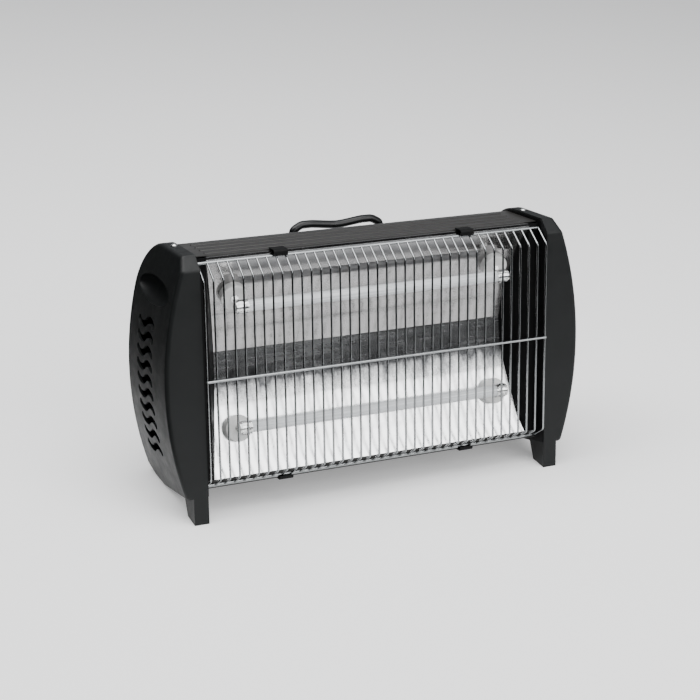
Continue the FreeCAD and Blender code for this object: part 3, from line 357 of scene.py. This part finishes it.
def gloss_black():
    """Gloss black switch plastic with faint flow lines."""
    look = Surface("gloss_black", specular_ior_level=0.5)
    flow = look.noise(1.0, 3, 0.5, look.stretched(60, 60, 420))
    look.set("Base Color", look.mix(flow, (0.007, 0.007, 0.0075), (0.012, 0.012, 0.0125)))
    look.set("Roughness", look.spread(flow, 0.14, 0.24))
    look.bump(look.noise(700, 2), 0.06, 0.00003)
    return look.material


def black_nylon():
    """Matt black nylon of the gland, its nut and the tip-over switch's bracket."""
    look = Surface("black_nylon", specular_ior_level=0.45)
    look.set("Base Color", look.mix(look.noise(90, 3), (0.010, 0.010, 0.011), (0.020, 0.020, 0.021)))
    look.set("Roughness", look.spread(look.noise(200, 3), 0.42, 0.58))
    look.bump(look.noise(1300, 2), 0.18, 0.00005)
    return look.material


def turned_brass():
    """Turned brass with tool rings."""
    look = Surface("turned_brass", metallic=1.0)
    rings = look.waves(900, "Z", distortion=1.5)
    look.set("Base Color", look.mix(rings, (0.62, 0.44, 0.18), (0.80, 0.62, 0.30)))
    look.set("Roughness", look.span(rings, 0.20, 0.36))
    look.bump(rings, 0.20, 0.00004)
    return look.material


def woven_sleeve():
    """Glass-fibre sleeve: two sets of slanted threads."""
    look = Surface("woven_sleeve", specular_ior_level=0.3, sheen_weight=0.3)
    first = look.waves(620, "DIAGONAL")
    second = look.waves(620, "DIAGONAL", look.stretched(-1, 1, 1))
    weave = look.math("MULTIPLY", first, second)
    look.set("Base Color", look.mix(weave, (0.46, 0.45, 0.42), (0.78, 0.77, 0.73)))
    look.set("Roughness", look.span(weave, 0.60, 0.80))
    look.bump(weave, 0.5, 0.0002)
    return look.material


FINISHES = {
    grained_black: ["end_cap_left", "end_cap_right"],
    smooth_black: ["carry_handle"],
    stoved_steel: ["top_cover", "rear_cover"],
    black_sheet: ["cheek_left", "cheek_right", "end_plate_left", "end_plate_right", "guard_clips"],
    lower_aluminium: ["reflector_lower"],
    upper_aluminium: ["reflector_upper"],
    bright_wire: ["wire_guard"],
    milky_quartz: ["quartz_tube_upper", "quartz_tube_lower"],
    coil_wire: ["heating_coil_upper", "heating_coil_lower"],
    plated_steel: ["ferrule_", "tube_clip_", "cap_screws_", "handle_screws", "thermal_cutout"],
    steatite: ["insulator_", "terminal_block"],
    gloss_black: ["switch_body_", "rocker_"],
    black_nylon: ["cord_gland", "gland_nut", "tip_switch_bracket"],
    turned_brass: ["tip_pendulum", "terminal_screws"],
    woven_sleeve: ["lead_"],
}


def dress(obj, material):
    """Give every slot of an object one material."""
    if not obj.material_slots:
        obj.data.materials.append(material)
    for part in obj.material_slots:
        part.material = material


def dress_nodes():
    """Finish every CAD node; the materials come back by their function's name."""
    made = {}
    for finish, names in FINISHES.items():
        made[finish.__name__] = finish()
        for node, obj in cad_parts.items():
            if any(node == name or (name.endswith("_") and node.startswith(name)) for name in names):
                dress(obj, made[finish.__name__])
    return made


# ---------------------------------------------------------------- pieces


def new_piece(name, mesh_maker, material, body="heater"):
    """A smooth mesh object that rides on a body."""
    mesh = bpy.data.meshes.new(name)
    shape = bmesh.new()
    mesh_maker(shape)
    bmesh.ops.recalc_face_normals(shape, faces=shape.faces)
    for face in shape.faces:
        face.smooth = True
    shape.to_mesh(mesh)
    shape.free()
    obj = bpy.data.objects.new(name, mesh)
    bpy.context.scene.collection.objects.link(obj)
    mesh.materials.append(material)
    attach(obj, body)
    return obj


def skin_rings(shape, rings):
    """Join rings of points into a closed tube with flat ends."""
    made = [[shape.verts.new(point) for point in ring] for ring in rings]
    sides = len(made[0])
    for first, second in zip(made, made[1:]):
        for index in range(sides):
            following = (index + 1) % sides
            shape.faces.new((first[index], first[following], second[following], second[index]))
    shape.faces.new(made[0])
    shape.faces.new(made[-1][::-1])


def wind_coil(shape, node, left_end, right_end):
    """A wire wound about X inside a node's box, with a straight tail into each ferrule."""
    low, high = (Vector(corner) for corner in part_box(node))
    centre = (low + high) / 2
    radius = (high.z - low.z) / 2 - COIL_WIRE / 2
    turns = int((high.x - low.x - 2 * COIL_PITCH) / COIL_PITCH)
    start = centre.x - turns * COIL_PITCH / 2
    rings = [wire_ring(Vector((left_end, centre.y + radius, centre.z)), 0.0)]
    for step in range(turns * COIL_STEPS + 1):
        angle = 2 * math.pi * step / COIL_STEPS
        middle = Vector((start + step * COIL_PITCH / COIL_STEPS,
                         centre.y + radius * math.cos(angle), centre.z + radius * math.sin(angle)))
        rings.append(wire_ring(middle, angle))
    rings.append(wire_ring(Vector((right_end, centre.y + radius, centre.z)), 0.0))
    skin_rings(shape, rings)


def wire_ring(middle, angle):
    """One ring round the coil's wire, in the plane of the radius and the X axis."""
    outward = Vector((0, math.cos(angle), math.sin(angle)))
    ring = []
    for side in range(COIL_SIDES):
        turn = 2 * math.pi * side / COIL_SIDES
        ring.append(middle + (outward * math.cos(turn) + Vector((1, 0, 0)) * math.sin(turn)) * COIL_WIRE / 2)
    return ring


def make_coils(material):
    """Wound heating coils in place of their plain sleeves."""
    for name in ("upper", "lower"):
        node = "heating_coil_" + name
        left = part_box("ferrule_%s_left" % name)[1][0] - COIL_TAIL
        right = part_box("ferrule_%s_right" % name)[0][0] + COIL_TAIL
        piece = new_piece("wound_coil_" + name, lambda shape: wind_coil(shape, node, left, right), material)
        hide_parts(node)


def make_welds(material):
    """Small upset welds where each guard wire crosses the middle wire and the rails."""
    gap = WIRE_SIZE / 2
    rows = [(MIDDLE_DEPTH + gap, MIDDLE_HEIGHT), (RAIL_DEPTH - gap, TOP_RAIL - gap / 2),
            (RAIL_DEPTH - gap, BOTTOM_RAIL + gap / 2)]

    def beads(shape):
        for depth, height in rows:
            for number in range(WIRES):
                place = leaned((number - (WIRES - 1) / 2) * WIRE_PITCH, depth, height)
                bmesh.ops.create_icosphere(shape, subdivisions=2, radius=1.0,
                                           matrix=Matrix.Translation(place) @ BEAD)

    new_piece("guard_welds", beads, material)


# ---------------------------------------------------------------- studio


def make_floor():
    """A plain pale floor that glows a little, as a lit sweep does."""
    bpy.ops.mesh.primitive_plane_add(size=FLOOR_SIZE)
    floor = bpy.context.object
    floor.name = "floor"
    look = Surface("pale_floor", roughness=0.85, specular_ior_level=0.2, emission_strength=0.26)
    look.set("Emission Color", (1, 1, 1, 1))
    look.set("Base Color", look.mix(look.noise(3, 3), (0.86, 0.86, 0.86), (0.88, 0.88, 0.88)))
    floor.data.materials.append(look.material)


def softbox(name, place, aim, width, height, power):
    """A rectangular area light turned towards a point."""
    light = bpy.data.lights.new(name, "AREA")
    light.shape = "RECTANGLE"
    light.size = width
    light.size_y = height
    light.energy = power
    lamp = bpy.data.objects.new(name, light)
    lamp.location = place
    lamp.rotation_euler = (Vector(aim) - Vector(place)).to_track_quat("-Z", "Y").to_euler()
    bpy.context.scene.collection.objects.link(lamp)


def make_lights():
    """Soft studio light: boxes overhead, high in front and high to the left, and a dim surround."""
    world = bpy.data.worlds.new("surround")
    world.use_nodes = True
    world.node_tree.nodes["Background"].inputs["Color"].default_value = SURROUND
    world.node_tree.nodes["Background"].inputs["Strength"].default_value = SURROUND_STRENGTH
    bpy.context.scene.world = world
    softbox("overhead", place=(-0.2, -0.2, 2.4), aim=(0, 0, 0), width=2.6, height=2.0, power=92)
    softbox("high_front", place=(0.95, -2.1, 1.55), aim=(0, 0, 0.1), width=1.9, height=1.7, power=46)
    softbox("left_side", place=(-1.6, 0.3, 2.2), aim=(-0.2, 0, 0.2), width=1.2, height=1.2, power=18)


def make_flags():
    """Black cards that only reflections show, as a studio uses: a low one in front and one to the left."""
    look = Surface("flag_cloth", roughness=1.0, specular_ior_level=0.0)
    look.set("Base Color", look.mix(look.noise(200), (0.004, 0.004, 0.004), (0.008, 0.008, 0.008)))
    front = [(-FRONT_FLAG_REACH, FRONT_FLAG), (FRONT_FLAG_REACH, FRONT_FLAG)]
    left = [(SIDE_FLAG, SIDE_FLAG_NEAR), (SIDE_FLAG, SIDE_FLAG_FAR)]
    for name, (first, last), height in (("front_flag", front, FRONT_FLAG_HEIGHT),
                                        ("side_flag", left, SIDE_FLAG_HEIGHT)):
        mesh = bpy.data.meshes.new(name)
        corners = [(*first, 0), (*last, 0), (*last, height), (*first, height)]
        mesh.from_pydata(corners, [], [(0, 1, 2, 3)])
        mesh.materials.append(look.material)
        flag = bpy.data.objects.new(name, mesh)
        bpy.context.scene.collection.objects.link(flag)
        flag.visible_camera = False
        flag.visible_shadow = False
        flag.visible_diffuse = False


def make_camera():
    """The camera: above and to the left, level but for a slight roll."""
    camera = bpy.data.cameras.new("camera")
    camera.lens = LENS
    camera.sensor_width = SENSOR
    camera.clip_end = SIGHT
    eye = bpy.data.objects.new("camera", camera)
    turn = Euler((math.pi / 2 - ELEVATION, 0, -AZIMUTH), "XYZ").to_matrix() @ Matrix.Rotation(ROLL, 3, "Z")
    eye.matrix_world = Matrix.Translation(AIM - turn @ Vector((0, 0, -DISTANCE))) @ turn.to_4x4()
    bpy.context.scene.collection.objects.link(eye)
    bpy.context.scene.camera = eye


materials = dress_nodes()
make_coils(materials["coil_wire"])
make_welds(materials["bright_wire"])
make_floor()
make_lights()
make_flags()
make_camera()
